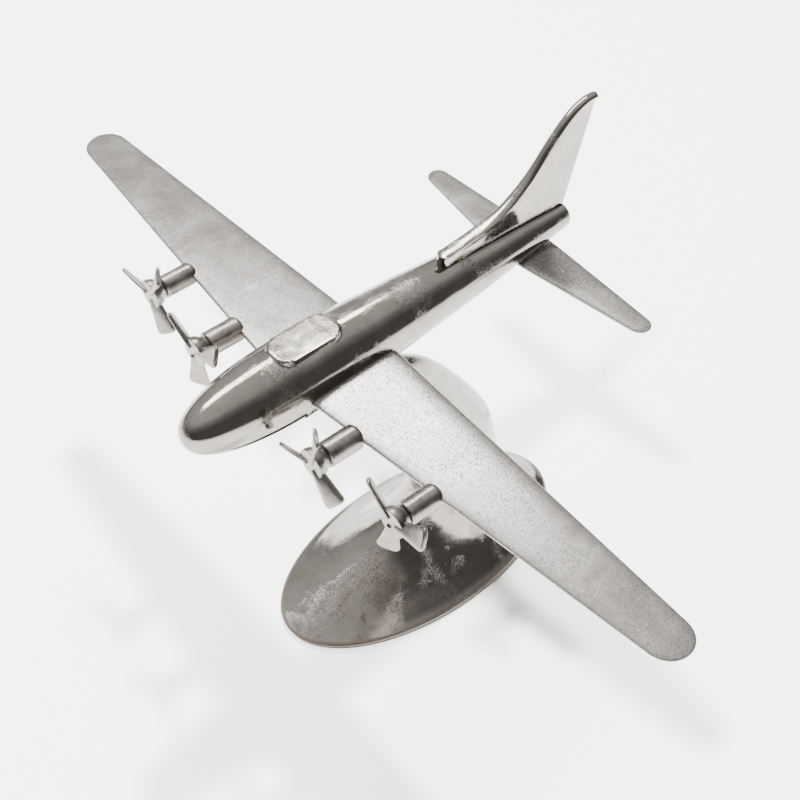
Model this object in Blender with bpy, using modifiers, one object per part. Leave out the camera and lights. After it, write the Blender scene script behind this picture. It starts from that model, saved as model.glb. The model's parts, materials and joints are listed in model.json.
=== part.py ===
"""Desktop airliner model: a cast metal aircraft on a swept display base.

World frame in metres: +Z up, nose towards -Y, left wing towards +X, and the origin at the
centre of the foot's underside. Aircraft dimensions are measured from the datum, the point
midway between the wing roots.
"""
import math

import bmesh
import bpy
from mathutils import Vector

MM = 0.001
FIT_GAP = 0.3 * MM             # between fixed pieces that touch
PIN_CLEARANCE = 0.09 * MM      # running fit of a propeller on its pin
DOWEL_CLEARANCE = 0.2 * MM     # fixed dowel in its hole
DATUM = Vector((0, -68 * MM, 234 * MM))

SIDES = {"left": 1, "right": -1}
ROUND_STEPS = 20               # facets round a pin, hub or nacelle

# Fuselage
NOSE_Y = -97 * MM
WIDEST_Y = -25 * MM
TAIL_Y = 176 * MM
BODY_RADIUS = 22.4 * MM
TAIL_RADIUS = 7.8 * MM
TAIL_EDGE = 2 * MM
NOSE_POWER = 2.3
TAIL_POWER = 1.5
AXIS_HEIGHT = 1.8 * MM         # of the fuselage axis above the datum
AXIS_TILT = math.radians(0.8)  # the tail rises
BODY_STEPS = 36

# Raised canopy, cast on the fuselage's back
CANOPY_FRONT = -37 * MM
CANOPY_BACK = 3 * MM
CANOPY_HALF_WIDTH = 11 * MM
CANOPY_TOP = 25.4 * MM
CANOPY_CORNER = 8 * MM

# Wings
HALF_SPAN = 250 * MM
WING_INNER_X = 12 * MM
WING_ROOT_X = 27 * MM
WING_ROOT = (-29.2 * MM, 28.6 * MM)    # leading and trailing edge
WING_END_X = 235 * MM
WING_END = (-4.8 * MM, 22.2 * MM)
WING_DROOP = 4.8 * MM                  # at WING_END_X
WING_THICK = (5.6 * MM, 3.2 * MM)      # root, end
WING_TIP_RUN = 14 * MM                 # length of the rounded tip
EDGE_POWER = 3.0                       # how square an edge is
SECTION_STEPS = 14

# Tailplane
TAILPLANE_SPAN = 92 * MM
TAILPLANE_INNER_X = 3 * MM
TAILPLANE_ROOT_X = 12 * MM
TAILPLANE_ROOT = (131.5 * MM, 160 * MM)
TAILPLANE_END_X = 84 * MM
TAILPLANE_END = (146.5 * MM, 160.5 * MM)
TAILPLANE_Z = -4.5 * MM
TAILPLANE_DROOP = 5.5 * MM
TAILPLANE_THICK = (4.4 * MM, 2.6 * MM)
TAILPLANE_TIP_RUN = 7 * MM

# Fin, leading edge from the dorsal step up to the tip (y, z)
FIN_LEADING = [(77, 8), (77.5, 25), (79.5, 26.5), (100, 29), (122, 34), (141, 47), (158, 66),
               (171, 78), (182, 83), (191.5, 83.5)]
FIN_TRAILING = [(173, 6), (192.5, 81)]
FIN_THICK = (9 * MM, 5.6 * MM)         # behind the round leading edge: bottom, tip
FIN_TRAILING_THICK = 2 * MM
FIN_STEPS = 13

# Engines: x, hub y, axis z, front, rear and radius of the nacelle, and the propeller's angle
ENGINES = {
    "left_inner": (51.4, -53.0, -2.6, -45.4, -22.0, 7.3, 79.9),
    "left_outer": (105.8, -45.5, -3.6, -38.0, -15.5, 6.7, 140.9),
    "right_inner": (-51.4, -53.0, -2.6, -45.4, -22.0, 7.3, 150.2),
    "right_outer": (-105.8, -45.5, -3.6, -38.0, -15.5, 6.7, 61.9),
}
BLADE_COUNT = 3
PROPELLER_RADIUS = 25.2 * MM
BLADE_ROOT = 3 * MM
BLADE_WIDTH = (6 * MM, 13.5 * MM)      # root, tip
BLADE_THICK = (3 * MM, 2.7 * MM)
BLADE_PITCH = (math.radians(52), math.radians(30))
BLADE_CORNER = 0.12                    # share of the length that the rounded tip takes
HUB_RADIUS = 8.8 * MM
HUB_BACK_RADIUS = 6.4 * MM
HUB_LENGTH = 8 * MM
HUB_FACE = 1.5 * MM                    # from the blades' plane forward to the flat face

# Pins and dowels
PIN_RADIUS = 1.5 * MM
PIN_IN_HUB = 4 * MM
PIN_IN_NACELLE = 11 * MM
SMALL_PIN_RADIUS = 1 * MM
STUD_RADIUS = 3 * MM
STUD_BOTTOM = -40 * MM
STUD_TOP = -6 * MM
STUD_Y = -2 * MM
WING_DOWEL_Y = {"front": -11 * MM, "rear": 13 * MM}
WING_DOWEL_HALF = 46 * MM
TAIL_DOWEL_Y = 147 * MM
TAIL_DOWEL_HALF = 32 * MM
FIN_PINS = {"front": (100 * MM, 12 * MM, 25 * MM), "rear": (140 * MM, 5 * MM, 27 * MM)}

# Base: height, centre y, half length, half width of its oval sections, from the origin
BASE_SECTIONS = [
    (1.8, 0, 108.2, 55.4), (3, 0, 109, 56.2), (5, 0, 108.6, 55.9), (9, 2, 100, 50),
    (19, 8, 81, 39), (34, 17, 58, 29), (54, 25, 42, 21), (76, 28, 35, 17), (108, 18, 37, 15),
    (146, -6, 39, 14), (184, -33, 37, 12), (206, -54, 30, 11), (226, -66, 28, 11),
]
CAVITY_SECTIONS = [(-2, 0, 101, 48), (6, 3, 93, 43), (16, 10, 74, 33), (31, 19, 50, 22),
                   (45, 25, 33, 14), (56, 27, 20, 8)]
FELT_THICKNESS = 1.5 * MM
FELT_INSET = 1.2 * MM
OVAL_STEPS = 36


def clear_scene():
    for obj in list(bpy.data.objects):
        bpy.data.objects.remove(obj, do_unlink=True)


def new_collection(name, hidden=False):
    collection = bpy.data.collections.new(name)
    bpy.context.scene.collection.children.link(collection)
    collection.hide_render = hidden
    return collection


clear_scene()
PARTS = new_collection("desktop_airliner_model")
CUTTERS = new_collection("cutters", hidden=True)


def metal(name, colour, roughness, metallic=1.0):
    material = bpy.data.materials.new(name)
    material.use_nodes = True
    shader = material.node_tree.nodes["Principled BSDF"]
    shader.inputs["Base Color"].default_value = (*colour, 1)
    shader.inputs["Roughness"].default_value = roughness
    shader.inputs["Metallic"].default_value = metallic
    return material


def finish_colour(name):
    """Each sub-part has its own material, coloured by the finish it has."""
    if "felt" in name:
        return metal(name, (0.03, 0.03, 0.03), 0.95, 0.0)
    if "pin" in name or "dowel" in name or "stud" in name:
        return metal(name, (0.55, 0.55, 0.54), 0.35)
    if "wing" in name or "tailplane" in name:
        return metal(name, (0.72, 0.70, 0.67), 0.38)
    if "propeller" in name or "nacelle" in name:
        return metal(name, (0.60, 0.57, 0.53), 0.42)
    return metal(name, (0.66, 0.63, 0.59), 0.15)


def place(obj, cutter=False):
    """Put an object in its collection, with its material if it is a sub-part."""
    for collection in list(obj.users_collection):
        collection.objects.unlink(obj)
    if cutter:
        CUTTERS.objects.link(obj)
        obj.hide_render = True
        obj.display_type = "WIRE"
    else:
        PARTS.objects.link(obj)
        obj.data.materials.clear()
        obj.data.materials.append(finish_colour(obj.name))
    return obj


def object_from(name, mesh_edit, cutter=False):
    mesh = bpy.data.meshes.new(name)
    bm = bmesh.new()
    mesh_edit(bm)
    bm.to_mesh(mesh)
    bm.free()
    return place(bpy.data.objects.new(name, mesh), cutter)


def loft(name, rings, cutter=False):
    """Skin a row of rings that have the same number of points, and close both ends."""
    def skin(bm):
        rows = [[bm.verts.new(point) for point in ring] for ring in rings]
        for low, high in zip(rows, rows[1:]):
            for i in range(len(low)):
                j = (i + 1) % len(low)
                bm.faces.new((low[i], low[j], high[j], high[i]))
        bm.faces.new(rows[0][::-1])
        bm.faces.new(rows[-1])
        bmesh.ops.recalc_face_normals(bm, faces=bm.faces)
    return object_from(name, skin, cutter)


def turned(name, profile, steps, cutter=False):
    """Turn a profile of (radius, z) about local Z, from its top to its bottom."""
    def wire(bm):
        points = [bm.verts.new((radius, 0, z)) for radius, z in profile]
        for above, below in zip(points, points[1:]):
            bm.edges.new((above, below))
    obj = object_from(name, wire, cutter)
    screw = obj.modifiers.new("turn", "SCREW")
    screw.steps = steps
    screw.render_steps = steps
    screw.use_merge_vertices = True
    screw.merge_threshold = 0.00001
    screw.use_normal_calculate = True
    return obj


def rod(name, radius, start, end, cutter=False, steps=ROUND_STEPS):
    """A plain round bar between two points."""
    start, end = Vector(start), Vector(end)
    run = end - start

    def cylinder(bm):
        bmesh.ops.create_cone(bm, cap_ends=True, segments=steps, radius1=radius,
                              radius2=radius, depth=run.length)
    obj = object_from(name, cylinder, cutter)
    obj.location = (start + end) / 2
    obj.rotation_mode = "QUATERNION"
    obj.rotation_quaternion = run.to_track_quat("Z", "Y")
    return obj


def boolean(obj, tool, operation="DIFFERENCE"):
    modifier = obj.modifiers.new(operation.lower(), "BOOLEAN")
    modifier.operation = operation
    modifier.solver = "EXACT"
    modifier.object = tool


def mix(pair, t):
    return pair[0] + (pair[1] - pair[0]) * t


def smooth_row(rows, t):
    """A point on the Catmull-Rom curve through rows of numbers, t from 0 to 1."""
    place_on = t * (len(rows) - 1)
    i = min(int(place_on), len(rows) - 2)
    u = place_on - i
    before, after = rows[max(i - 1, 0)], rows[min(i + 2, len(rows) - 1)]
    return [0.5 * (2 * b + (c - a) * u + (2 * a - 5 * b + 4 * c - d) * u ** 2
                   + (3 * b - a - 3 * c + d) * u ** 3)
            for a, b, c, d in zip(before, rows[i], rows[i + 1], after)]


def body_radius(y):
    if y < WIDEST_Y:
        run = (WIDEST_Y - y) / (WIDEST_Y - NOSE_Y)
        return BODY_RADIUS * max(0.0, 1 - run ** NOSE_POWER) ** (1 / NOSE_POWER)
    run = (y - WIDEST_Y) / (TAIL_Y - WIDEST_Y)
    return BODY_RADIUS - (BODY_RADIUS - TAIL_RADIUS) * run ** TAIL_POWER


def body_profile(grow):
    """Radius and local z of the fuselage, nose first, with an even skin added."""
    nose_steps, back_steps = 9, 11
    profile = [(0, -NOSE_Y + grow)]
    for i in range(1, nose_steps + 1):
        angle = math.pi / 2 * i / nose_steps
        y = WIDEST_Y + (NOSE_Y - WIDEST_Y) * math.cos(angle)
        profile.append((body_radius(y) + grow, -y + grow * math.cos(angle)))
    for i in range(1, back_steps + 1):
        y = WIDEST_Y + (TAIL_Y - TAIL_EDGE - WIDEST_Y) * i / back_steps
        profile.append((body_radius(y) + grow, -y))
    profile.append((TAIL_RADIUS - 0.6 * TAIL_EDGE + grow, -TAIL_Y + 0.3 * TAIL_EDGE - grow))
    profile.append((TAIL_RADIUS - TAIL_EDGE + grow, -TAIL_Y - grow))
    profile.append((0, -TAIL_Y - grow))
    return profile


def body(name, grow=0.0, cutter=False):
    obj = turned(name, body_profile(grow), BODY_STEPS, cutter)
    obj.location = DATUM + Vector((0, 0, AXIS_HEIGHT))
    obj.rotation_euler = (math.pi / 2 + AXIS_TILT, 0, 0)
    return obj


def canopy_block():
    """The canopy's flat-topped pad, joined to the fuselage by a union."""
    size = Vector((2 * CANOPY_HALF_WIDTH, CANOPY_BACK - CANOPY_FRONT, CANOPY_TOP))

    def block(bm):
        bmesh.ops.create_cube(bm, size=1)
        bmesh.ops.scale(bm, vec=size, verts=bm.verts)
        upright = [e for e in bm.edges if abs(e.verts[0].co.z - e.verts[1].co.z) > size.z / 2]
        bmesh.ops.bevel(bm, geom=upright, offset=CANOPY_CORNER, segments=5, profile=0.5,
                        affect="EDGES")
    obj = object_from("canopy_block", block, cutter=True)
    obj.location = DATUM + Vector((0, (CANOPY_FRONT + CANOPY_BACK) / 2, CANOPY_TOP / 2))
    return obj


def edge_section(front, back, thick, steps=SECTION_STEPS):
    """Offsets (along the chord, across it) of a flat section with rounded edges."""
    points = []
    for i in range(steps):
        angle = 2 * math.pi * i / steps
        c, s = math.cos(angle), math.sin(angle)
        along = math.copysign(abs(c) ** (2 / EDGE_POWER), c)
        across = math.copysign(abs(s) ** (2 / EDGE_POWER), s)
        points.append(((front + back) / 2 - along * (back - front) / 2, across * thick / 2))
    return points


def panel(name, side, span, inner_x, root_x, root, end_x, end, level, droop, thick, tip_run,
          grow=0.0):
    """A tapered flat panel with a rounded tip, before its root is cut to fit."""
    rings = []
    straight = 3
    rounded = 5
    start_tip = span - tip_run
    xs = [inner_x + (start_tip - inner_x) * i / straight for i in range(straight)]
    xs += [start_tip + tip_run * math.sin(math.pi / 2 * i / rounded) for i in range(rounded)]
    xs.append(span - 0.04 * MM)
    for x in xs:
        t = (x - root_x) / (end_x - root_x)
        front, back = mix((root[0], end[0]), t), mix((root[1], end[1]), t)
        into_tip = max(0.0, (x - start_tip) / tip_run)
        shrink = math.sqrt(max(0.0, 1 - into_tip ** 2.4))
        middle, half = (front + back) / 2, (back - front) / 2 * shrink
        depth = mix(thick, t) * (0.35 + 0.65 * shrink)
        z = level - droop * t
        rings.append([DATUM + Vector((side * x, y, z + up))
                      for y, up in edge_section(middle - half - grow, middle + half + grow,
                                                depth + 2 * grow)])
    return loft(name, rings, cutter=grow > 0)


def wing(name, side, grow=0.0):
    return panel(name, side, HALF_SPAN, WING_INNER_X, WING_ROOT_X, WING_ROOT, WING_END_X,
                 WING_END, 0.0, WING_DROOP, WING_THICK, WING_TIP_RUN, grow)


def tailplane(name, side):
    return panel(name, side, TAILPLANE_SPAN, TAILPLANE_INNER_X, TAILPLANE_ROOT_X,
                 TAILPLANE_ROOT, TAILPLANE_END_X, TAILPLANE_END, TAILPLANE_Z,
                 TAILPLANE_DROOP, TAILPLANE_THICK, TAILPLANE_TIP_RUN)


def fin_section(chord, thick):
    """Offsets (along the chord, across it): a round leading edge, tapering to the trailing edge."""
    points = []
    for radius, middle, first, steps in ((thick / 2, thick / 2, 90, 6),
                                         (FIN_TRAILING_THICK / 2,
                                          chord - FIN_TRAILING_THICK / 2, -90, 3)):
        for i in range(steps + 1):
            angle = math.radians(first + 180 * i / steps)
            points.append((middle + radius * math.cos(angle), radius * math.sin(angle)))
    return points


def fin():
    rings = []
    for i in range(FIN_STEPS + 1):
        t = i / FIN_STEPS
        front = [v * MM for v in smooth_row(FIN_LEADING, t)]
        back = [v * MM for v in smooth_row(FIN_TRAILING, t)]
        thick = mix(FIN_THICK, t) * (0.5 if i == FIN_STEPS else 1)
        chord = math.dist(front, back)
        ring = []
        for along, across in fin_section(chord, thick):
            y = mix((front[0], back[0]), along / chord)
            z = mix((front[1], back[1]), along / chord)
            ring.append(DATUM + Vector((across, y, z)))
        rings.append(ring)
    return loft("fin", rings)


def nacelle(name, x, axis_z, front, rear, radius):
    """A round body with a soft front edge and a rounded rear end."""
    edge = 0.8 * MM
    profile = [(0, -front), (radius - edge, -front), (radius, -front - edge)]
    for i in range(4):
        angle = math.pi / 2 * i / 3
        profile.append((radius * math.cos(angle), -rear + 4 * MM * (1 - math.sin(angle))))
    profile[-1] = (0, -rear)
    obj = turned(name, profile, ROUND_STEPS)
    obj.location = DATUM + Vector((x, 0, axis_z))
    obj.rotation_euler = (math.pi / 2, 0, 0)
    return obj


def blade_rings(angle):
    rings = []
    out = Vector((math.cos(angle), 0, math.sin(angle)))
    for t in (0, 0.3, 0.6, 1 - BLADE_CORNER, 1 - BLADE_CORNER / 4, 1):
        corner = max(0.0, (t - 1 + BLADE_CORNER) / BLADE_CORNER)
        width = mix(BLADE_WIDTH, t ** 1.3) * (1 - 0.34 * corner ** 2)
        pitch = mix(BLADE_PITCH, t)
        chordwise = Vector((-out.z, 0, out.x)) * math.cos(pitch) + Vector((0, math.sin(pitch), 0))
        normal = out.cross(chordwise)
        rings.append([out * mix((BLADE_ROOT, PROPELLER_RADIUS), t) + chordwise * along
                      + normal * across
                      for along, across in edge_section(-width / 2, width / 2,
                                                        mix(BLADE_THICK, t), 8)])
    return rings


def propeller(name, x, hub_y, axis_z, stored_degrees):
    """Hub and blades as one casting, its origin on the spin axis."""
    edge = 0.7 * MM
    back = HUB_LENGTH - HUB_FACE
    profile = [(0, HUB_FACE), (HUB_RADIUS - edge, HUB_FACE), (HUB_RADIUS, HUB_FACE - edge)]
    for t in (0.2, 0.6, 1):
        profile.append((mix((HUB_RADIUS, HUB_BACK_RADIUS), t ** 2), -t * (back - edge)))
    profile += [(HUB_BACK_RADIUS - edge, -back), (0, -back)]
    obj = turned(name, profile, ROUND_STEPS)
    obj.rotation_euler = (math.pi / 2, 0, 0)
    obj.location = DATUM + Vector((x, hub_y, axis_z))
    for i in range(BLADE_COUNT):
        angle = math.radians(stored_degrees) + 2 * math.pi * i / BLADE_COUNT
        blade = loft(f"{name}_blade_{i}", blade_rings(angle), cutter=True)
        blade.location = obj.location
        boolean(obj, blade, "UNION")
    return obj


def oval(height, centre, half_length, half_width):
    return [Vector((half_width * math.cos(a), centre + half_length * math.sin(a), height)) * MM
            for a in (2 * math.pi * i / OVAL_STEPS for i in range(OVAL_STEPS))]


def base_casting():
    count = 22
    rows = [smooth_row(BASE_SECTIONS, i / count) for i in range(count + 1)]
    return loft("base_casting", [oval(*row) for row in rows])


def base_felt():
    foot = BASE_SECTIONS[0]
    outline = (foot[1], foot[2] - FELT_INSET / MM, foot[3] - FELT_INSET / MM)
    return loft("base_felt", [oval(0, *outline), oval(FELT_THICKNESS / MM, *outline)])


def drill(obj, name, radius, start, end):
    boolean(obj, rod(name, radius, start, end, cutter=True))


def build():
    fuselage = body("fuselage")
    body_skin = body("fuselage_skin", FIT_GAP, cutter=True)
    boolean(fuselage, canopy_block(), "UNION")

    wings = {side: wing(f"wing_{side}", sign) for side, sign in SIDES.items()}
    wing_skins = {side: wing(f"wing_skin_{side}", sign, FIT_GAP) for side, sign in SIDES.items()}
    tails = {side: tailplane(f"tailplane_{side}", sign) for side, sign in SIDES.items()}
    tail_fin = fin()
    casting = base_casting()
    base_felt()
    for obj in (*wings.values(), *tails.values(), tail_fin, casting):
        boolean(obj, body_skin)
    boolean(casting, loft("foot_cavity", [oval(*row) for row in CAVITY_SECTIONS], cutter=True))

    hole = PIN_RADIUS + DOWEL_CLEARANCE
    for place_name, y in WING_DOWEL_Y.items():
        level = DATUM + Vector((0, y, -0.3 * MM))
        reach = Vector((WING_DOWEL_HALF, 0, 0))
        rod(f"wing_dowel_{place_name}", PIN_RADIUS, level - reach, level + reach)
        hole_reach = reach + Vector((1 * MM, 0, 0))
        for obj in (fuselage, *wings.values()):
            drill(obj, f"{obj.name}_hole_{place_name}", hole, level - hole_reach,
                  level + hole_reach)

    small_hole = SMALL_PIN_RADIUS + DOWEL_CLEARANCE
    level = DATUM + Vector((0, TAIL_DOWEL_Y, TAILPLANE_Z - 0.2 * MM))
    reach = Vector((TAIL_DOWEL_HALF, 0, 0))
    rod("tailplane_dowel", SMALL_PIN_RADIUS, level - reach, level + reach)
    hole_reach = reach + Vector((1 * MM, 0, 0))
    for obj in (fuselage, *tails.values()):
        drill(obj, f"{obj.name}_tail_hole", small_hole, level - hole_reach, level + hole_reach)

    for place_name, (y, low, high) in FIN_PINS.items():
        start, end = DATUM + Vector((0, y, low)), DATUM + Vector((0, y, high))
        rod(f"fin_pin_{place_name}", SMALL_PIN_RADIUS, start, end)
        beyond = Vector((0, 0, 0.6 * MM))
        for obj in (fuselage, tail_fin):
            drill(obj, f"{obj.name}_pin_hole_{place_name}", small_hole, start - beyond,
                  end + beyond)

    stud_low = DATUM + Vector((0, STUD_Y, STUD_BOTTOM))
    stud_high = DATUM + Vector((0, STUD_Y, STUD_TOP))
    rod("belly_stud", STUD_RADIUS, stud_low, stud_high)
    beyond = Vector((0, 0, 0.8 * MM))
    for obj in (fuselage, casting):
        drill(obj, f"{obj.name}_stud_hole", STUD_RADIUS + DOWEL_CLEARANCE, stud_low - beyond,
              stud_high + beyond)

    for engine, (*lengths, stored) in ENGINES.items():
        x, hub_y, axis_z, front, rear, radius = (v * MM for v in lengths)
        side = "left" if x > 0 else "right"
        pod = nacelle(f"nacelle_{engine}", x, axis_z, front, rear, radius)
        boolean(pod, wing_skins[side])
        spinner = propeller(f"propeller_{engine}", x, hub_y, axis_z, stored)
        hub_back = hub_y + HUB_LENGTH - HUB_FACE
        axis_point = DATUM + Vector((x, 0, axis_z))
        front_end = axis_point + Vector((0, hub_back - PIN_IN_HUB, 0))
        rear_end = axis_point + Vector((0, front + PIN_IN_NACELLE, 0))
        rod(f"propeller_pin_{engine}", PIN_RADIUS, front_end, rear_end)
        beyond = Vector((0, 0.5 * MM, 0))
        boolean(spinner, rod(f"{spinner.name}_bore", PIN_RADIUS + PIN_CLEARANCE,
                             front_end - beyond, rear_end, cutter=True))
        drill(pod, f"{pod.name}_hole", hole, front_end, rear_end + beyond)


build()
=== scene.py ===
"""Looks of the desktop airliner model: fine castings, metal finishes, felt, light and camera.

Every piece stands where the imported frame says. Lengths are in metres; aircraft dimensions
are measured from the datum, the point midway between the wing roots.
"""
import json
import math

import bpy
from mathutils import Matrix, Vector


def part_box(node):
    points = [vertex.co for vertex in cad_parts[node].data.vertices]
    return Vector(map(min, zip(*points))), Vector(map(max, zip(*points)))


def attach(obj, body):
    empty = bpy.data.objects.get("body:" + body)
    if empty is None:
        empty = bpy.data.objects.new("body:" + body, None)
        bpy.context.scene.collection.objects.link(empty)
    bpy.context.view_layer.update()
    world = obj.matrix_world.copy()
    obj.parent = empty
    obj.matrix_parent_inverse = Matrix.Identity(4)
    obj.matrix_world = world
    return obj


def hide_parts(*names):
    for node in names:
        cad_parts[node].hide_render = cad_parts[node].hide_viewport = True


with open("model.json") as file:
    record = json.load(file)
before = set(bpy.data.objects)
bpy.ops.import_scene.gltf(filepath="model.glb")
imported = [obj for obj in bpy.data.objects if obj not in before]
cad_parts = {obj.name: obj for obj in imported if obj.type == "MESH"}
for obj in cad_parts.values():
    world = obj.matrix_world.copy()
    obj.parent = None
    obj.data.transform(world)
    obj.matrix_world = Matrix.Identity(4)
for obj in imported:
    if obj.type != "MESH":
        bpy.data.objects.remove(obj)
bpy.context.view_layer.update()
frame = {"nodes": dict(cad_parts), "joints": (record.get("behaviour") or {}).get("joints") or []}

MM = 0.001
SIDES = {"left": 1, "right": -1}
JOINTS = {joint["name"]: joint for joint in frame["joints"]}
AIRFRAME = "airframe"

DATUM = Vector((0, -68 * MM, 234 * MM))

POINT = 0.005 * MM                     # stands for a radius of nothing
SKIN_CREASE = math.radians(50)         # edges sharper than this stay crisp
UNION_CREASE = math.radians(40)

# Fuselage
NOSE_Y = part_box("fuselage")[0].y - DATUM.y
TAIL_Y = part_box("fuselage")[1].y - DATUM.y
WIDEST_Y = -25 * MM
BODY_RADIUS = 22.35 * MM
TAIL_RADIUS = 7.8 * MM
TAIL_EDGE = 2.2 * MM
NOSE_POWER = 2.3
TAIL_POWER = 1.5
AXIS_HEIGHT = 1.8 * MM
AXIS_TILT = math.radians(0.8)
NOSE_STEPS = 46
FINE_ARC = 54                          # degrees either side of straight up, finely divided

CANOPY_MIDDLE = -17 * MM
CANOPY_HALF = (11.0 * MM, 20.2 * MM)
CANOPY_CORNER = 8 * MM
CANOPY_TOP = 23.5 * MM                 # above the fuselage axis
CANOPY_WALL = 1.8 * MM                 # run of the rounded wall around it
CANOPY_WALL_INSIDE = 0.35              # share of the wall inside the outline
CANOPY_LIP = 0.15 * MM                 # least rise over the fuselage
CANOPY_ANGLE = math.radians(60)        # the pad lies within this of straight up
CANOPY_MARGIN = 4 * MM                 # finely divided stretch before and behind it

SADDLE_FRONT = -33 * MM                # fairing that carries the wing roots
SADDLE_BACK = 31 * MM
SADDLE_RISE = 0.7 * MM
SADDLE_FADE = 1.2 * MM
SADDLE_ANGLE = math.radians(91)        # its upper edge, from straight up
SADDLE_ANGLE_FADE = math.radians(3)

STATION_STEPS = dict(canopy=0.7 * MM, back=2.2 * MM, saddle_end=0.5 * MM, tail=2.6 * MM)

# Wings and tailplane
HALF_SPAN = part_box("wing_left")[1].x
WING = dict(inner=17 * MM, root_x=27 * MM, root=(-29.2 * MM, 28.6 * MM), end_x=235 * MM,
            end=(-4.8 * MM, 22.2 * MM), level=0.0, droop=4.8 * MM,
            thick=(5.5 * MM, 3.1 * MM), span=HALF_SPAN, tip_run=14 * MM)
TAILPLANE = dict(inner=4 * MM, root_x=12 * MM, root=(131.5 * MM, 160 * MM), end_x=84 * MM,
                 end=(146.5 * MM, 160.5 * MM), level=-4.5 * MM, droop=5.5 * MM,
                 thick=(4.3 * MM, 2.5 * MM), span=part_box("tailplane_left")[1].x,
                 tip_run=7 * MM)
EDGE_POWER = 3.0                       # how square an edge is
TIP_POWER = 2.4                        # how square a tip is in plan
TIP_THIN = 0.35                        # share of the thickness left at a tip

# Fin: (y, z) in mm along its leading edge, from the dorsal step up to the tip
FIN_LEADING = [(77, 8), (77.5, 25), (79.5, 26.5), (100, 29), (122, 34), (141, 47), (158, 66),
               (171, 78), (182, 83), (191.5, 83.5)]
FIN_TRAILING = [(173, 6), (192.4, 81)]
FIN_THICK = (8.9 * MM, 5.5 * MM)
FIN_TRAILING_THICK = 1.9 * MM
FIN_TIP = 0.035                        # share of the height that the rounded tip takes
FIN_SHARE = 0.999                      # of its height, to stay under the CAD tip
FIN_STEPS = dict(nose=20, tail=8, side=14, height=90)

# Engines
NACELLE_RADIUS = {"inner": 7.25 * MM, "outer": 6.65 * MM}
NACELLE_EDGE = 1.1 * MM
NACELLE_FACE = 0.45                    # share of the radius where the front face is divided
NACELLE_DOME = 4 * MM                  # length of the rounded back
TURNED_STEPS = 48
PROPELLER_RADIUS = 25.1 * MM
BLADE_COUNT = 3                        # on each propeller
BLADE_ROOT = 3 * MM
BLADE_WIDTH = (6 * MM, 13.4 * MM)
BLADE_THICK = (3 * MM, 2.7 * MM)
BLADE_PITCH = (math.radians(52), math.radians(30))
BLADE_CORNER = 0.14                    # share of the length that the rounded tip takes
BLADE_FLARE = 1.3                      # power that the width grows with
BLADE_CORNER_LOSS = (0.34, 0.25)       # of the width and the thickness, at the very tip

# Degrees from +X to one blade of each propeller at rest
STORED = {"left_inner": 79.9, "left_outer": 140.9, "right_inner": 150.2, "right_outer": 61.9}

HUB_RADIUS = 8.7 * MM
HUB_BACK_RADIUS = 6.4 * MM
HUB_LENGTH = 7.9 * MM
HUB_FACE = 1.4 * MM
HUB_EDGE = 0.7 * MM
PIN_EYE = 1.6 * MM                     # the hub's flat back ends here, round its pin

# Base, in mm from the origin: height, centre y, half length and half width of oval sections
BASE_SECTIONS = [
    (1.9, 0, 108.1, 55.3), (3, 0, 108.9, 56.1), (5, 0, 108.5, 55.8), (9, 2, 100, 50),
    (19, 8, 81, 39), (34, 17, 58, 29), (54, 25, 42, 21), (76, 28, 35, 17), (108, 18, 37, 15),
    (146, -6, 39, 14), (184, -33, 37, 12), (206, -54, 30, 11), (226, -66, 28, 11),
]

RIM_TOP = 5.5 * MM                     # the foot's bare edge ends here

FELT_OUT_AS_SHADE_LINE = 1.1                         # mm beyond the CAD felt, still inside the foot's rim; this dark outer band is painted shade under the rim
FELT_BULGE = 0.3                       # mm

# Studio
FOCUS = Vector((0, 0, 200 * MM))
ROOM_GLOW = Vector((-0.45, 0.10, 0.89))

# How far a direction leans towards the glow, and how bright the room is there
ROOM_LEVELS = [(0.2, 0.20), (0.45, 0.45), (0.62, 0.95), (1.0, 1.3)]

SOFTBOXES = {"softbox_behind": (-0.60, 1.20, 4.1), "softbox_front": (0.50, -1.75, 4.0)}
SOFTBOX_SIZE = (0.28, 0.28)
SOFTBOX_WATTS = 500
PANEL_AT = (-1.08, 0.22, 1.92)
PANEL_SIZE = (1.8, 0.45)
PANEL_WATTS = 58

# Camera
CAMERA_AT = Vector((0.4221, -0.3860, 0.7820))
CAMERA_TARGET = Vector((0.0381, -0.0511, 0.2181))
CAMERA_ROLL = math.radians(-0.74)
CAMERA_LENS = 63.3


# ---------------------------------------------------------------- small geometry helpers

def mix(pair, t):
    return pair[0] + (pair[1] - pair[0]) * t


def ease(t):
    t = min(1.0, max(0.0, t))
    return t * t * (3 - 2 * t)


def smooth_row(rows, t):
    """A point on the Catmull-Rom curve through rows of numbers, t from 0 to 1."""
    place_on = t * (len(rows) - 1)
    i = min(int(place_on), len(rows) - 2)
    u = place_on - i
    before, after = rows[max(i - 1, 0)], rows[min(i + 2, len(rows) - 1)]
    return [0.5 * (2 * b + (c - a) * u + (2 * a - 5 * b + 4 * c - d) * u ** 2
                   + (3 * b - a - 3 * c + d) * u ** 3)
            for a, b, c, d in zip(before, rows[i], rows[i + 1], after)]


def skin(name, rings):
    """A closed mesh over a row of rings that have the same number of points."""
    count = len(rings[0])
    vertices = [point for ring in rings for point in ring]
    faces = []
    for row in range(len(rings) - 1):
        for i in range(count):
            j = (i + 1) % count
            faces.append((row * count + i, row * count + j,
                          (row + 1) * count + j, (row + 1) * count + i))
    faces.append(tuple(range(count))[::-1])
    last = (len(rings) - 1) * count
    faces.append(tuple(range(last, last + count)))
    mesh = bpy.data.meshes.new(name)
    mesh.from_pydata([tuple(v) for v in vertices], [], faces)
    mesh.validate()
    if signed_volume(mesh) < 0:
        mesh.flip_normals()
    return shaded_object(name, mesh, SKIN_CREASE)


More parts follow.
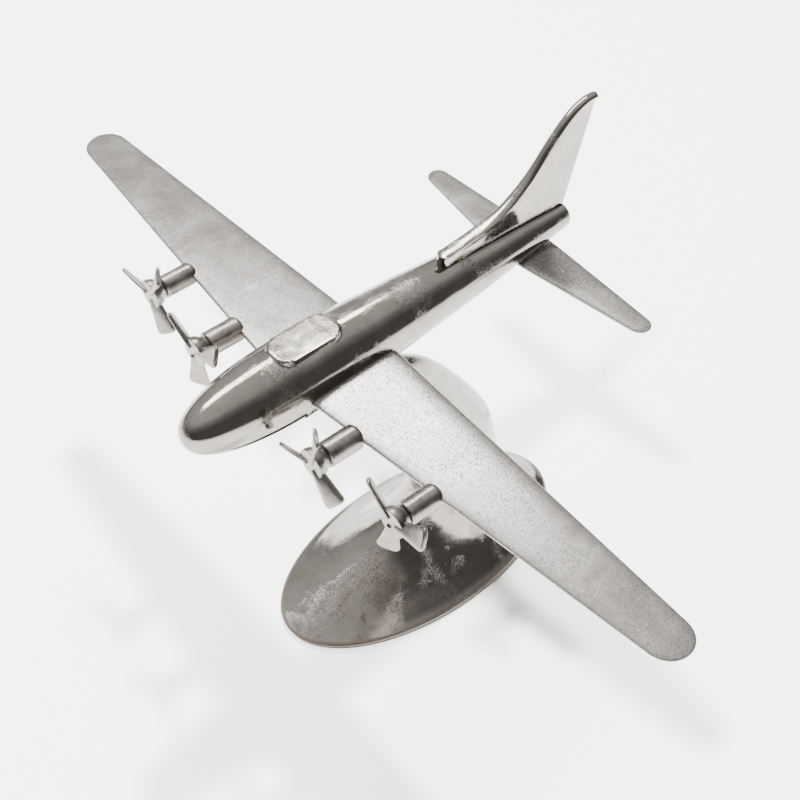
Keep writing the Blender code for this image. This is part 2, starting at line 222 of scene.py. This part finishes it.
def shaded_object(name, mesh, crease):
    mesh.shade_smooth()
    mesh.set_sharp_from_angle(angle=crease)
    obj = bpy.data.objects.new(name, mesh)
    bpy.context.scene.collection.objects.link(obj)
    return obj


def signed_volume(mesh):
    mesh.calc_loop_triangles()
    total = 0.0
    for triangle in mesh.loop_triangles:
        a, b, c = (mesh.vertices[i].co for i in triangle.vertices)
        total += a.dot(b.cross(c))
    return total


def joined(name, objects):
    """One object from several closed meshes, united into one skin."""
    first = objects[0]
    for other in objects[1:]:
        union = first.modifiers.new("union", "BOOLEAN")
        union.operation = "UNION"
        union.solver = "EXACT"
        union.object = other
    bpy.context.view_layer.update()
    done = first.evaluated_get(bpy.context.evaluated_depsgraph_get())
    mesh = bpy.data.meshes.new_from_object(done)
    for obj in objects:
        bpy.data.objects.remove(obj)
    mesh.name = name
    return shaded_object(name, mesh, UNION_CREASE)


# ---------------------------------------------------------------- materials

def shader_of(material):
    return material.node_tree.nodes["Principled BSDF"]


class Finish:
    """A Principled material with short calls for the nodes that these finishes share."""

    def __init__(self, name, metallic, roughness):
        self.material = bpy.data.materials.new(name)
        self.material.use_nodes = True
        self.tree = self.material.node_tree
        self.shader = shader_of(self.material)
        self.shader.inputs["Metallic"].default_value = metallic
        self.shader.inputs["Roughness"].default_value = roughness
        self.place = self.tree.nodes.new("ShaderNodeTexCoord").outputs["Object"]

    def link(self, start, end):
        self.tree.links.new(start, end)

    def stretched(self, scale):
        mapping = self.tree.nodes.new("ShaderNodeMapping")
        mapping.inputs["Scale"].default_value = scale
        self.link(self.place, mapping.inputs["Vector"])
        return mapping.outputs["Vector"]

    def height(self):
        parts = self.tree.nodes.new("ShaderNodeSeparateXYZ")
        self.link(self.place, parts.inputs["Vector"])
        return parts.outputs["Z"]

    def noise(self, scale, detail, roughness, vector=None, distortion=0.0):
        node = self.tree.nodes.new("ShaderNodeTexNoise")
        node.inputs["Scale"].default_value = scale
        node.inputs["Detail"].default_value = detail
        node.inputs["Roughness"].default_value = roughness
        node.inputs["Distortion"].default_value = distortion
        self.link(vector or self.place, node.inputs["Vector"])
        return node.outputs["Fac"]

    def ramp(self, value, stops):
        node = self.tree.nodes.new("ShaderNodeValToRGB")
        elements = node.color_ramp.elements
        while len(elements) < len(stops):
            elements.new(0.5)
        for element, (position, colour) in zip(elements, stops):
            element.position = position
            element.color = (*colour, 1)
        self.link(value, node.inputs["Fac"])
        return node.outputs["Color"]

    def level(self, value, low, high, start=0.0, end=1.0):
        """Map a value between two ends, clamped."""
        node = self.tree.nodes.new("ShaderNodeMapRange")
        node.inputs["From Min"].default_value = start
        node.inputs["From Max"].default_value = end
        node.inputs["To Min"].default_value = low
        node.inputs["To Max"].default_value = high
        self.link(value, node.inputs["Value"])
        return node.outputs["Result"]

    def math(self, operation, first, second):
        node = self.tree.nodes.new("ShaderNodeMath")
        node.operation = operation
        node.use_clamp = True
        for socket, value in zip(node.inputs, (first, second)):
            if isinstance(value, float):
                socket.default_value = value
            else:
                self.link(value, socket)
        return node.outputs["Value"]

    def signed(self, operation, first, second):
        """As math, for results that may go below zero."""
        result = self.math(operation, first, second)
        result.node.use_clamp = False
        return result

    def blend(self, factor, first, second):
        node = self.tree.nodes.new("ShaderNodeMix")
        node.data_type = "RGBA"
        self.link(factor, node.inputs["Factor"])
        for socket, value in ((node.inputs["A"], first), (node.inputs["B"], second)):
            if isinstance(value, tuple):
                socket.default_value = (*value, 1)
            else:
                self.link(value, socket)
        return node.outputs["Result"]

    def bump(self, height, distance, strength, under=None):
        node = self.tree.nodes.new("ShaderNodeBump")
        node.inputs["Distance"].default_value = distance
        node.inputs["Strength"].default_value = strength
        self.link(height, node.inputs["Height"])
        if under:
            self.link(under, node.inputs["Normal"])
        return node.outputs["Normal"]

    def set(self, socket, value):
        self.link(value, self.shader.inputs[socket])


def polished_alloy():
    """Mirror polish over a casting, with fine pits that the wheel left and a bare sawn rim."""
    finish = Finish("polished_alloy", 1.0, 0.1)
    speck = finish.level(finish.noise(1050, 3, 0.75), 0.0, 1.0, 0.50, 0.62)
    patches = finish.level(finish.noise(24, 5, 0.65, distortion=0.6), 0.0, 1.0, 0.50, 0.66)
    pitted = finish.math("MULTIPLY", speck, finish.math("ADD", patches, 0.06))
    tone = finish.ramp(finish.noise(60, 5, 0.65), [(0.3, (0.235, 0.217, 0.195)),
                                                   (0.7, (0.310, 0.290, 0.264))])
    edge = finish.level(finish.height(), 1.0, 0.0, RIM_TOP, RIM_TOP + 0.4 * MM)
    worn = finish.blend(pitted, tone, (0.055, 0.048, 0.042))
    finish.set("Base Color", finish.blend(edge, worn, (0.235, 0.200, 0.172)))
    rough = finish.level(finish.noise(90, 5, 0.65), 0.04, 0.13, 0.3, 0.75)
    rougher = finish.math("ADD", rough, finish.math("MULTIPLY", pitted, 0.25))
    finish.set("Roughness", finish.math("ADD", rougher, finish.math("MULTIPLY", edge, 0.4)))
    wave = finish.bump(finish.noise(34, 2, 0.5, distortion=0.4), 0.0008, 0.6)
    swirl = finish.bump(finish.noise(210, 3, 0.6), 0.00003, 0.5, wave)
    grit = finish.bump(finish.noise(1300, 3, 0.7), 0.00002, 0.4, swirl)
    finish.set("Normal", finish.bump(pitted, -0.00010, 0.8, grit))
    return finish.material


def satin_alloy():
    """Wing panels: rubbed along the span, blotchy, with scuffs and a few long scratches."""
    finish = Finish("satin_alloy", 1.0, 0.3)
    rubbed = finish.noise(1.0, 5, 0.7, finish.stretched((250, 1500, 600)))
    grain = finish.noise(1000, 2, 0.6)
    blotch = finish.noise(40, 6, 0.7, distortion=0.5)
    speck = finish.level(grain, 0.0, 1.0, 0.48, 0.66)
    scratch_run = finish.stretched((34, 12, 20))
    centred = finish.signed("SUBTRACT", finish.noise(3.0, 0, 0.5, scratch_run, 0.3), 0.5)
    lines = finish.level(finish.signed("ABSOLUTE", centred, 0.0), 1.0, 0.0, 0.0, 0.006)
    where = finish.level(finish.noise(24, 2, 0.5), 0.0, 1.0, 0.54, 0.62)
    scuffs = finish.math("MULTIPLY", lines, where)
    tone = finish.ramp(blotch, [(0.30, (0.33, 0.312, 0.293)), (0.70, (0.43, 0.412, 0.393))])
    darker = finish.blend(speck, tone, (0.18, 0.168, 0.156))
    finish.set("Base Color", finish.blend(scuffs, darker, (0.62, 0.61, 0.60)))
    rough = finish.level(blotch, 0.20, 0.32, 0.3, 0.7)
    finish.set("Roughness", finish.math("ADD", rough, finish.math("MULTIPLY", speck, 0.12)))
    wave = finish.bump(finish.noise(22, 2, 0.5), 0.0007, 0.4)
    along = finish.bump(rubbed, 0.00004, 0.6, wave)
    pits = finish.bump(grain, 0.00003, 0.6, along)
    finish.set("Normal", finish.bump(scuffs, -0.00003, 0.3, pits))
    return finish.material


def cast_alloy():
    """Nacelles and propellers: smoothed as cast, blotchy, with darker specks from a fine grain."""
    finish = Finish("cast_alloy", 1.0, 0.3)
    grain = finish.noise(900, 4, 0.7)
    blotch = finish.noise(120, 4, 0.65)
    tone = finish.ramp(blotch, [(0.32, (0.20, 0.184, 0.165)), (0.68, (0.30, 0.280, 0.256))])
    dark = finish.level(grain, 0.0, 0.75, 0.56, 0.74)
    finish.set("Base Color", finish.blend(dark, tone, (0.13, 0.112, 0.095)))
    finish.set("Roughness", finish.level(blotch, 0.24, 0.40, 0.3, 0.7))
    wave = finish.bump(finish.noise(150, 2, 0.5), 0.0005, 0.5)
    finish.set("Normal", finish.bump(grain, 0.00006, 0.7, wave))
    return finish.material


def drawn_steel():
    finish = Finish("drawn_steel", 1.0, 0.3)
    rings = finish.noise(1.0, 3, 0.6, finish.stretched((400, 4000, 400)))
    finish.set("Base Color", finish.ramp(rings, [(0.3, (0.38, 0.37, 0.36)),
                                                 (0.7, (0.60, 0.59, 0.58))]))
    finish.set("Roughness", finish.level(rings, 0.22, 0.4))
    finish.set("Normal", finish.bump(rings, 0.00002, 0.5))
    return finish.material


def pressed_felt():
    finish = Finish("pressed_felt", 0.0, 0.95)
    fibres = finish.noise(2600, 4, 0.7)
    finish.shader.inputs["Sheen Weight"].default_value = 0.10
    finish.set("Base Color", finish.ramp(fibres, [(0.3, (0.010, 0.010, 0.010)),
                                                  (0.8, (0.055, 0.052, 0.048))]))
    finish.set("Normal", finish.bump(fibres, 0.0002, 0.8))
    return finish.material


MATERIALS = {"polished_alloy": polished_alloy(), "satin_alloy": satin_alloy(),
             "cast_alloy": cast_alloy(), "steel": drawn_steel(), "felt": pressed_felt()}


def finish_piece(obj, slot, body, *nodes):
    """Give a piece its material and slot, let it ride, and hide the CAD nodes it stands for."""
    obj.data.materials.clear()
    obj.data.materials.append(MATERIALS[slot])
    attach(obj, body)
    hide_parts(*nodes)


# ---------------------------------------------------------------- fuselage

def body_radius(y):
    if y < WIDEST_Y:
        run = (WIDEST_Y - y) / (WIDEST_Y - NOSE_Y)
        return BODY_RADIUS * max(0.0, 1 - run ** NOSE_POWER) ** (1 / NOSE_POWER)
    run = (y - WIDEST_Y) / (TAIL_Y - WIDEST_Y)
    radius = BODY_RADIUS - (BODY_RADIUS - TAIL_RADIUS) * run ** TAIL_POWER
    into_end = max(0.0, (y - (TAIL_Y - TAIL_EDGE)) / TAIL_EDGE)
    return radius - TAIL_EDGE * (1 - math.sqrt(max(0.0, 1 - into_end ** 2)))


def outside_canopy(x, y):
    """Distance outside the canopy's rounded outline, negative inside it."""
    dx = abs(x) - (CANOPY_HALF[0] - CANOPY_CORNER)
    dy = abs(y - CANOPY_MIDDLE) - (CANOPY_HALF[1] - CANOPY_CORNER)
    beyond = math.hypot(max(dx, 0), max(dy, 0))
    return beyond + min(max(dx, dy), 0) - CANOPY_CORNER


def fuselage_point(y, angle):
    """A point of the skin: angle from straight up, towards +X."""
    radius = body_radius(y)
    near = abs(y - CANOPY_MIDDLE) < CANOPY_HALF[1] + CANOPY_MARGIN
    if near and abs(angle) < CANOPY_ANGLE:
        flat = CANOPY_TOP / math.cos(angle)
        raised = max(flat, radius + CANOPY_LIP)
        away = outside_canopy(CANOPY_TOP * math.tan(angle), y)
        radius += (raised - radius) * ease(1 - CANOPY_WALL_INSIDE - away / CANOPY_WALL)
    below = ease((abs(angle) - SADDLE_ANGLE) / SADDLE_ANGLE_FADE)
    along = ease((y - SADDLE_FRONT) / SADDLE_FADE) * ease((SADDLE_BACK - y) / SADDLE_FADE)
    radius += SADDLE_RISE * below * along
    return radius * math.sin(angle), radius * math.cos(angle)


def spread(start, end, step):
    count = max(1, round((end - start) / step))
    return [start + (end - start) * i / count for i in range(count)]


def fuselage_stations():
    """Places along the fuselage: dense at the nose, the canopy, the saddle's end and the tail."""
    nose = [WIDEST_Y + (NOSE_Y - WIDEST_Y) * math.cos(math.pi / 2 * i / NOSE_STEPS)
            for i in range(1, NOSE_STEPS + 1)]
    front = CANOPY_MIDDLE - CANOPY_HALF[1] - CANOPY_MARGIN
    back = -front + 2 * CANOPY_MIDDLE
    step = STATION_STEPS
    stations = [y for y in nose if y < front]
    stations += spread(front, back, step["canopy"])
    stations += spread(back, SADDLE_BACK - 2 * MM, step["back"])
    stations += spread(SADDLE_BACK - 2 * MM, SADDLE_BACK + 1 * MM, step["saddle_end"])
    stations += spread(SADDLE_BACK + 1 * MM, TAIL_Y - TAIL_EDGE, step["tail"])
    stations += [TAIL_Y - TAIL_EDGE + TAIL_EDGE * math.sin(math.pi / 2 * i / 8) for i in range(9)]
    return [NOSE_Y + 0.02 * MM] + stations


def fuselage():
    top = [math.radians(a) for a in range(-FINE_ARC, FINE_ARC, 2)]
    side = [math.radians(a) for a in range(FINE_ARC, 360 - FINE_ARC, 4)]
    angles = [a - 2 * math.pi if a > math.pi else a for a in top + side]
    turn = Matrix.Rotation(AXIS_TILT, 4, "X")
    middle = DATUM + Vector((0, 0, AXIS_HEIGHT))
    rings = []
    for y in fuselage_stations():
        ring = []
        for angle in angles:
            x, z = fuselage_point(y, angle)
            ring.append(middle + turn @ Vector((x, y, z)))
        rings.append(ring)
    finish_piece(skin("fuselage_casting", rings), "polished_alloy", AIRFRAME, "fuselage")


# ---------------------------------------------------------------- wings, tailplane and fin

def edge_section(front, back, thick, steps):
    """Points (along the chord, across it) of a flat section with rounded edges."""
    points = []
    for i in range(steps):
        angle = 2 * math.pi * i / steps
        c, s = math.cos(angle), math.sin(angle)
        along = math.copysign(abs(c) ** (2 / EDGE_POWER), c)
        across = math.copysign(abs(s) ** (2 / EDGE_POWER), s)
        points.append(((front + back) / 2 - along * (back - front) / 2, across * thick / 2))
    return points


def panel(name, side, size, steps=64, straight=50, rounded=22):
    """A tapered flat panel with a rounded tip, its root inside the fuselage."""
    start_tip = size["span"] - size["tip_run"]
    xs = spread(size["inner"], start_tip, (start_tip - size["inner"]) / straight)
    xs += [start_tip + size["tip_run"] * math.sin(math.pi / 2 * i / rounded)
           for i in range(rounded)]
    xs.append(size["span"] - POINT)
    rings = []
    for x in xs:
        t = (x - size["root_x"]) / (size["end_x"] - size["root_x"])
        front = mix((size["root"][0], size["end"][0]), t)
        back = mix((size["root"][1], size["end"][1]), t)
        into_tip = max(0.0, (x - start_tip) / size["tip_run"])
        shrink = math.sqrt(max(0.0, 1 - into_tip ** TIP_POWER))
        middle, half = (front + back) / 2, (back - front) / 2 * shrink
        depth = mix(size["thick"], t) * mix((TIP_THIN, 1), shrink)
        z = size["level"] - size["droop"] * t
        rings.append([DATUM + Vector((side * x, y, z + up))
                      for y, up in edge_section(middle - half, middle + half, depth, steps)])
    return skin(name, rings)


def fin_section(chord, thick):
    """A round leading edge, flat sides and a thin trailing edge."""
    nose, tail = thick / 2, FIN_TRAILING_THICK / 2
    side = FIN_STEPS["side"]
    after_nose = FIN_STEPS["nose"] + 1
    points = []
    for radius, middle, first, steps in ((nose, nose, 90, FIN_STEPS["nose"]),
                                         (tail, chord - tail, -90, FIN_STEPS["tail"])):
        for i in range(steps + 1):
            angle = math.radians(first + 180 * i / steps)
            points.append((middle + radius * math.cos(angle), radius * math.sin(angle)))
    upper, lower = (points[-1], points[0]), (points[after_nose - 1], points[after_nose])
    below, above = ([[mix(pair, i / side) for pair in zip(*ends)] for i in range(1, side)]
                    for ends in (lower, upper))
    return points[:after_nose] + below + points[after_nose:] + above


def fin():
    rings = []
    for i in range(FIN_STEPS["height"] + 1):
        t = math.sin(math.pi / 2 * i / FIN_STEPS["height"])
        front = [v * MM for v in smooth_row(FIN_LEADING, t)]
        back = [v * MM for v in smooth_row(FIN_TRAILING, t)]
        chord = math.dist(front, back)
        into_tip = max(0.0, (t - 1 + FIN_TIP) / FIN_TIP)
        left = math.sqrt(max(0.0, 1 - into_tip ** 2))
        thick = mix(FIN_THICK, t) * mix((TIP_THIN, 1), left)
        ring = []
        for along, across in fin_section(chord, thick):
            y = mix((front[0], back[0]), along / chord)
            z = mix((front[1], back[1]), along / chord) * FIN_SHARE
            ring.append(DATUM + Vector((across, y, z)))
        rings.append(ring)
    finish_piece(skin("fin_casting", rings), "polished_alloy", AIRFRAME, "fin")


# ---------------------------------------------------------------- engines

def turned(name, middle, profile):
    """A body turned about an axis along Y, from a profile of (radius, y)."""
    angles = [2 * math.pi * i / TURNED_STEPS for i in range(TURNED_STEPS)]
    rings = [[middle + Vector((max(radius, POINT) * math.cos(a), y, max(radius, POINT) * math.sin(a)))
              for a in angles] for radius, y in profile]
    return skin(name, rings)


def arc(centre, radius, start, end, steps):
    """Points (r, y) of an arc; degrees from straight forward (-Y) towards outwards."""
    points = []
    for i in range(steps + 1):
        angle = math.radians(start + (end - start) * i / steps)
        points.append((centre[0] + radius * math.sin(angle), centre[1] - radius * math.cos(angle)))
    return points


def nacelle(engine):
    low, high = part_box(f"nacelle_{engine}")
    axis = Vector(JOINTS[f"{engine}_spin"]["pos_m"])
    middle = Vector((axis.x, 0, axis.z))
    radius, edge = NACELLE_RADIUS[engine.split("_")[1]], NACELLE_EDGE
    dome = high.y - NACELLE_DOME
    profile = [(0.0, low.y), (radius * NACELLE_FACE, low.y)]
    profile += arc((radius - edge, low.y + edge), edge, 0, 90, 6)
    profile += [(radius, mix((low.y + edge, dome), i / 12)) for i in range(1, 12)]
    for i in range(13):
        angle = math.pi / 2 * i / 12
        profile.append((radius * math.cos(angle), dome + NACELLE_DOME * math.sin(angle)))
    piece = turned(f"nacelle_{engine}_casting", middle, profile)
    finish_piece(piece, "cast_alloy", AIRFRAME, f"nacelle_{engine}")


def blade(middle, angle):
    count, section = 30, 28
    out = Vector((math.cos(angle), 0, math.sin(angle)))
    rings = []
    for i in range(count + 1):
        t = 1 - (1 - i / count) ** 1.6      # closer together towards the tip
        corner = max(0.0, (t - 1 + BLADE_CORNER) / BLADE_CORNER)
        width = mix(BLADE_WIDTH, t ** BLADE_FLARE) * (1 - BLADE_CORNER_LOSS[0] * corner ** 2.5)
        depth = mix(BLADE_THICK, t) * (1 - BLADE_CORNER_LOSS[1] * corner ** 8)
        pitch = mix(BLADE_PITCH, t)
        chordwise = Vector((-out.z, 0, out.x)) * math.cos(pitch) + Vector((0, math.sin(pitch), 0))
        normal = out.cross(chordwise)
        radius = mix((BLADE_ROOT, PROPELLER_RADIUS), t)
        rings.append([middle + out * radius + chordwise * along + normal * across
                      for along, across in edge_section(-width / 2, width / 2, depth, section)])
    return skin("blade", rings)


def propeller(engine):
    middle = Vector(JOINTS[f"{engine}_spin"]["pos_m"])
    back = HUB_LENGTH - HUB_FACE
    profile = [(0.0, -HUB_FACE), (HUB_RADIUS / 2, -HUB_FACE)]
    profile += arc((HUB_RADIUS - HUB_EDGE, HUB_EDGE - HUB_FACE), HUB_EDGE, 0, 90, 5)
    profile += [(mix((HUB_RADIUS, HUB_BACK_RADIUS), (i / 12) ** 2), i / 12 * (back - HUB_EDGE))
                for i in range(13)]
    profile += arc((HUB_BACK_RADIUS - HUB_EDGE, back - HUB_EDGE), HUB_EDGE, 100, 180, 5)
    profile.append((PIN_EYE, back))
    pieces = [turned("hub", middle, profile)]
    pieces += [blade(middle, math.radians(STORED[engine]) + 2 * math.pi * i / BLADE_COUNT)
               for i in range(BLADE_COUNT)]
    piece = joined(f"propeller_{engine}_casting", pieces)
    finish_piece(piece, "cast_alloy", f"{engine}_propeller", f"propeller_{engine}")


# ---------------------------------------------------------------- base

def oval(height, centre, half_length, half_width, steps=120):
    return [Vector((half_width * math.cos(a), centre + half_length * math.sin(a), height)) * MM
            for a in (2 * math.pi * i / steps for i in range(steps))]


def base():
    count = 150
    rows = [smooth_row(BASE_SECTIONS, i / count) for i in range(count + 1)]
    piece = skin("base_casting_skin", [oval(*row) for row in rows])
    finish_piece(piece, "polished_alloy", AIRFRAME, "base_casting")


def felt():
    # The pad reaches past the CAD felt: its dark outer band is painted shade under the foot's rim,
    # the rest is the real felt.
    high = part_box("base_felt")[1]
    half_length, half_width = high.y / MM + FELT_OUT_AS_SHADE_LINE, high.x / MM + FELT_OUT_AS_SHADE_LINE
    rings = []
    for i in range(9):
        angle = math.pi * i / 8
        inset = FELT_BULGE * (1 - math.sin(angle))
        height = mix((0.0, high.z / MM), (1 - math.cos(angle)) / 2)
        rings.append(oval(height, 0, half_length - inset, half_width - inset, 180))
    finish_piece(skin("felt_pad_and_shade_line", rings), "felt", AIRFRAME, "base_felt")


def hidden_metal():
    """Pins, dowels and the stud keep their CAD shape, in drawn steel."""
    for name, node in frame["nodes"].items():
        if "pin" in name or "dowel" in name or "stud" in name:
            node.data.materials.clear()
            node.data.materials.append(MATERIALS["steel"])


# ---------------------------------------------------------------- studio

def area_light(name, at, size, watts):
    """A rectangular light that faces the model."""
    light = bpy.data.lights.new(name, "AREA")
    light.shape = "RECTANGLE"
    light.size, light.size_y = size
    light.energy = watts
    obj = bpy.data.objects.new(name, light)
    bpy.context.scene.collection.objects.link(obj)
    obj.location = at
    obj.rotation_euler = (FOCUS - Vector(at)).to_track_quat("-Z", "Y").to_euler()
    return obj


def studio():
    bpy.ops.mesh.primitive_plane_add(size=12, location=(0, 0, 0))
    floor = bpy.context.object
    floor.name = "studio_floor"
    paper = bpy.data.materials.new("studio_paper")
    paper.use_nodes = True
    shader_of(paper).inputs["Base Color"].default_value = (0.90, 0.90, 0.89, 1)
    shader_of(paper).inputs["Roughness"].default_value = 0.9
    shader_of(paper).inputs["Specular IOR Level"].default_value = 0.1
    floor.data.materials.append(paper)
    room()
    for name, at in SOFTBOXES.items():
        softbox = area_light(name, at, SOFTBOX_SIZE, SOFTBOX_WATTS)
        softbox.visible_glossy = False      # the long panel gives the metal its sheen
    area_light("long_panel", PANEL_AT, PANEL_SIZE, PANEL_WATTS)


def room():
    """A dim room, brighter high up on the right wing's side."""
    world = bpy.data.worlds.new("studio_world")
    world.use_nodes = True
    nodes, links = world.node_tree.nodes, world.node_tree.links
    toward = nodes.new("ShaderNodeVectorMath")
    toward.operation = "DOT_PRODUCT"
    toward.inputs[1].default_value = ROOM_GLOW
    links.new(nodes.new("ShaderNodeTexCoord").outputs["Generated"], toward.inputs[0])
    ramp = nodes.new("ShaderNodeValToRGB")
    elements = ramp.color_ramp.elements
    for _ in ROOM_LEVELS[2:]:
        elements.new(0.5)
    for element, (position, level) in zip(elements, ROOM_LEVELS):
        element.position = position
        element.color = (level, level * 0.985, level * 0.96, 1)
    links.new(toward.outputs["Value"], ramp.inputs["Fac"])
    links.new(ramp.outputs["Color"], nodes["Background"].inputs["Color"])
    bpy.context.scene.world = world


def camera():
    data = bpy.data.cameras.new("camera")
    data.lens = CAMERA_LENS
    data.sensor_width = 36
    data.clip_start = 0.01
    obj = bpy.data.objects.new("camera", data)
    bpy.context.scene.collection.objects.link(obj)
    look = (CAMERA_TARGET - CAMERA_AT).to_track_quat("-Z", "Y").to_matrix().to_4x4()
    obj.matrix_world = (Matrix.Translation(CAMERA_AT) @ look
                        @ Matrix.Rotation(-CAMERA_ROLL, 4, "Z"))
    bpy.context.scene.camera = obj


# ---------------------------------------------------------------- build

fuselage()
for side_name, sign in SIDES.items():
    wing = panel(f"wing_{side_name}_panel", sign, WING)
    finish_piece(wing, "satin_alloy", AIRFRAME, f"wing_{side_name}")
    half = panel(f"tailplane_{side_name}_panel", sign, TAILPLANE, 48, 26, 16)
    finish_piece(half, "satin_alloy", AIRFRAME, f"tailplane_{side_name}")
fin()
for engine_name in STORED:
    nacelle(engine_name)
    propeller(engine_name)
base()
felt()
hidden_metal()
camera()
studio()
